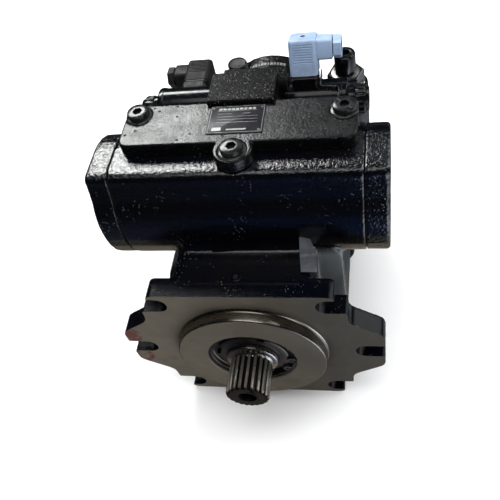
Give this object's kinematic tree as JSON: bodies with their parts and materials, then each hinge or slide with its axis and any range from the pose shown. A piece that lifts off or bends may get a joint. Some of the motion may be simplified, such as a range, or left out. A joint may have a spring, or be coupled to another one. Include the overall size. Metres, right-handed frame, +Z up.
{
  "type": "axial piston pump",
  "caption": "Variable axial piston pump: slotted mounting flange, splined shaft, cross-wise stroking cylinder, electric control and rear boost pump.",
  "frame": {"origin": "bottom centre of the bounding box, on the plane the pump rests on; the shaft axis runs 97 mm above it", "axes": "-Y out of the mounting face along the shaft, +Z up through the stroking cylinder, X across the shaft"},
  "size_m": [0.276, 0.4046, 0.3076],
  "materials": {
    "black_paint": "gloss",
    "steel": "satin",
    "bronze": "satin",
    "black_steel": "satin",
    "black_plastic": "matte",
    "blue_grey_plastic": "matte",
    "seal_rubber": "matte",
    "name_plate_foil": "satin"
  },
  "bodies": {
    "pump_body": {"housing": "black_paint", "cylinder_cover_left": "black_paint", "cylinder_cover_right": "black_paint", "seal_carrier": "steel", "shaft_seal": "seal_rubber", "retaining_ring": "black_steel", "front_bearing_cup": "steel", "cradle_bearing_upper": "bronze", "cradle_bearing_lower": "bronze", "valve_plate": "bronze", "control_plate": "black_paint", "plate_screw_left": "black_steel", "plate_screw_right": "black_steel", "plate_screw_front": "black_steel", "name_plate": "name_plate_foil", "valve_block": "black_paint", "solenoid_left": "black_plastic", "solenoid_right": "black_plastic", "solenoid_nut_left": "black_plastic", "solenoid_nut_right": "black_plastic", "connector_left": "black_plastic", "connector_right": "blue_grey_plastic", "gland_nut_left": "black_plastic", "gland_nut_right": "blue_grey_plastic", "port_plate": "black_paint", "relief_cartridge": "steel", "relief_cap": "black_plastic", "tower_plug": "steel", "neck_plug": "black_steel", "boost_pump_housing": "black_paint"},
    "rotor": {"drive_shaft": "steel", "front_bearing_cone": "steel", "cylinder_block": "bronze", "retaining_ball": "steel", "boost_inner_gear": "steel"},
    "boost_ring": {"boost_outer_gear": "steel"},
    "swash": {"swash_plate": "steel"},
    "retainer": {"retaining_plate": "steel"},
    "servo": {"stroking_piston": "steel"},
    "spool": {"control_spool": "steel"},
    "pin_left": {"override_pin_left": "steel"},
    "pin_right": {"override_pin_right": "steel"},
    "slipper_1": {"slipper_1": "bronze"},
    "piston_1": {"piston_1": "steel"},
    "slipper_2": {"slipper_2": "bronze"},
    "piston_2": {"piston_2": "steel"},
    "slipper_3": {"slipper_3": "bronze"},
    "piston_3": {"piston_3": "steel"},
    "slipper_4": {"slipper_4": "bronze"},
    "piston_4": {"piston_4": "steel"},
    "slipper_5": {"slipper_5": "bronze"},
    "piston_5": {"piston_5": "steel"},
    "slipper_6": {"slipper_6": "bronze"},
    "piston_6": {"piston_6": "steel"},
    "slipper_7": {"slipper_7": "bronze"},
    "piston_7": {"piston_7": "steel"},
    "slipper_8": {"slipper_8": "bronze"},
    "piston_8": {"piston_8": "steel"},
    "slipper_9": {"slipper_9": "bronze"},
    "piston_9": {"piston_9": "steel"}
  },
  "joints": [
    {"name": "shaft_spin", "type": "hinge", "parent": "pump_body", "child": "rotor", "pos_m": [0, -0.14775, 0.097], "axis": [0, 1, 0], "continuous": true},
    {"name": "boost_ring_spin", "type": "hinge", "parent": "pump_body", "child": "boost_ring", "pos_m": [-0.003, 0.15225, 0.097], "axis": [0, 1, 0], "continuous": true},
    {"name": "swash_tilt", "type": "hinge", "parent": "pump_body", "child": "swash", "pos_m": [0, -0.07275, 0.097], "axis": [0, 0, 1], "range_deg": [-15, 15], "stiffness_Nm_per_rad": 60},
    {"name": "servo_slide", "type": "slide", "parent": "pump_body", "child": "servo", "axis": [1, 0, 0], "range_m": [-0.011, 0.011]},
    {"name": "retainer_spin", "type": "hinge", "parent": "swash", "child": "retainer", "pos_m": [0, -0.07275, 0.097], "axis": [0, 1, 0], "continuous": true},
    {"name": "spool_slide", "type": "slide", "parent": "pump_body", "child": "spool", "axis": [1, 0, 0], "range_m": [-0.0025, 0.0025], "stiffness_N_per_m": 2000},
    {"name": "override_left", "type": "slide", "parent": "pump_body", "child": "pin_left", "axis": [1, 0, 0], "range_m": [0, 0.003], "stiffness_N_per_m": 500},
    {"name": "override_right", "type": "slide", "parent": "pump_body", "child": "pin_right", "axis": [-1, 0, 0], "range_m": [0, 0.003], "stiffness_N_per_m": 500},
    {"name": "slipper_1_turn", "type": "hinge", "parent": "retainer", "child": "slipper_1", "pos_m": [0.04323, -0.07275, 0.11273], "axis": [0, 1, 0], "continuous": true},
    {"name": "piston_1_swing", "type": "hinge", "parent": "slipper_1", "child": "piston_1", "pos_m": [0.04323, -0.07275, 0.11273], "axis": [0, 0, 1], "range_deg": [-15, 15]},
    {"name": "slipper_2_turn", "type": "hinge", "parent": "retainer", "child": "slipper_2", "pos_m": [0.023, -0.07275, 0.13684], "axis": [0, 1, 0], "continuous": true},
    {"name": "piston_2_swing", "type": "hinge", "parent": "slipper_2", "child": "piston_2", "pos_m": [0.023, -0.07275, 0.13684], "axis": [0, 0, 1], "range_deg": [-15, 15]},
    {"name": "slipper_3_turn", "type": "hinge", "parent": "retainer", "child": "slipper_3", "pos_m": [-0.00799, -0.07275, 0.1423], "axis": [0, 1, 0], "continuous": true},
    {"name": "piston_3_swing", "type": "hinge", "parent": "slipper_3", "child": "piston_3", "pos_m": [-0.00799, -0.07275, 0.1423], "axis": [0, 0, 1], "range_deg": [-15, 15]},
    {"name": "slipper_4_turn", "type": "hinge", "parent": "retainer", "child": "slipper_4", "pos_m": [-0.03524, -0.07275, 0.12657], "axis": [0, 1, 0], "continuous": true},
    {"name": "piston_4_swing", "type": "hinge", "parent": "slipper_4", "child": "piston_4", "pos_m": [-0.03524, -0.07275, 0.12657], "axis": [0, 0, 1], "range_deg": [-15, 15]},
    {"name": "slipper_5_turn", "type": "hinge", "parent": "retainer", "child": "slipper_5", "pos_m": [-0.046, -0.07275, 0.097], "axis": [0, 1, 0], "continuous": true},
    {"name": "piston_5_swing", "type": "hinge", "parent": "slipper_5", "child": "piston_5", "pos_m": [-0.046, -0.07275, 0.097], "axis": [0, 0, 1], "range_deg": [-15, 15]},
    {"name": "slipper_6_turn", "type": "hinge", "parent": "retainer", "child": "slipper_6", "pos_m": [-0.03524, -0.07275, 0.06743], "axis": [0, 1, 0], "continuous": true},
    {"name": "piston_6_swing", "type": "hinge", "parent": "slipper_6", "child": "piston_6", "pos_m": [-0.03524, -0.07275, 0.06743], "axis": [0, 0, 1], "range_deg": [-15, 15]},
    {"name": "slipper_7_turn", "type": "hinge", "parent": "retainer", "child": "slipper_7", "pos_m": [-0.00799, -0.07275, 0.0517], "axis": [0, 1, 0], "continuous": true},
    {"name": "piston_7_swing", "type": "hinge", "parent": "slipper_7", "child": "piston_7", "pos_m": [-0.00799, -0.07275, 0.0517], "axis": [0, 0, 1], "range_deg": [-15, 15]},
    {"name": "slipper_8_turn", "type": "hinge", "parent": "retainer", "child": "slipper_8", "pos_m": [0.023, -0.07275, 0.05716], "axis": [0, 1, 0], "continuous": true},
    {"name": "piston_8_swing", "type": "hinge", "parent": "slipper_8", "child": "piston_8", "pos_m": [0.023, -0.07275, 0.05716], "axis": [0, 0, 1], "range_deg": [-15, 15]},
    {"name": "slipper_9_turn", "type": "hinge", "parent": "retainer", "child": "slipper_9", "pos_m": [0.04323, -0.07275, 0.08127], "axis": [0, 1, 0], "continuous": true},
    {"name": "piston_9_swing", "type": "hinge", "parent": "slipper_9", "child": "piston_9", "pos_m": [0.04323, -0.07275, 0.08127], "axis": [0, 0, 1], "range_deg": [-15, 15]}
  ],
  "couplings": [
    {"joint": "boost_ring_spin", "follows": "shaft_spin", "ratio": 0.9},
    {"joint": "servo_slide", "follows": "swash_tilt", "m_per_rad": -0.042},
    {"joint": "retainer_spin", "follows": "shaft_spin", "ratio": 1},
    {"joint": "slipper_1_turn", "follows": "shaft_spin", "ratio": -1},
    {"joint": "piston_1_swing", "follows": "swash_tilt", "ratio": -1},
    {"joint": "slipper_2_turn", "follows": "shaft_spin", "ratio": -1},
    {"joint": "piston_2_swing", "follows": "swash_tilt", "ratio": -1},
    {"joint": "slipper_3_turn", "follows": "shaft_spin", "ratio": -1},
    {"joint": "piston_3_swing", "follows": "swash_tilt", "ratio": -1},
    {"joint": "slipper_4_turn", "follows": "shaft_spin", "ratio": -1},
    {"joint": "piston_4_swing", "follows": "swash_tilt", "ratio": -1},
    {"joint": "slipper_5_turn", "follows": "shaft_spin", "ratio": -1},
    {"joint": "piston_5_swing", "follows": "swash_tilt", "ratio": -1},
    {"joint": "slipper_6_turn", "follows": "shaft_spin", "ratio": -1},
    {"joint": "piston_6_swing", "follows": "swash_tilt", "ratio": -1},
    {"joint": "slipper_7_turn", "follows": "shaft_spin", "ratio": -1},
    {"joint": "piston_7_swing", "follows": "swash_tilt", "ratio": -1},
    {"joint": "slipper_8_turn", "follows": "shaft_spin", "ratio": -1},
    {"joint": "piston_8_swing", "follows": "swash_tilt", "ratio": -1},
    {"joint": "slipper_9_turn", "follows": "shaft_spin", "ratio": -1},
    {"joint": "piston_9_swing", "follows": "swash_tilt", "ratio": -1}
  ]
}
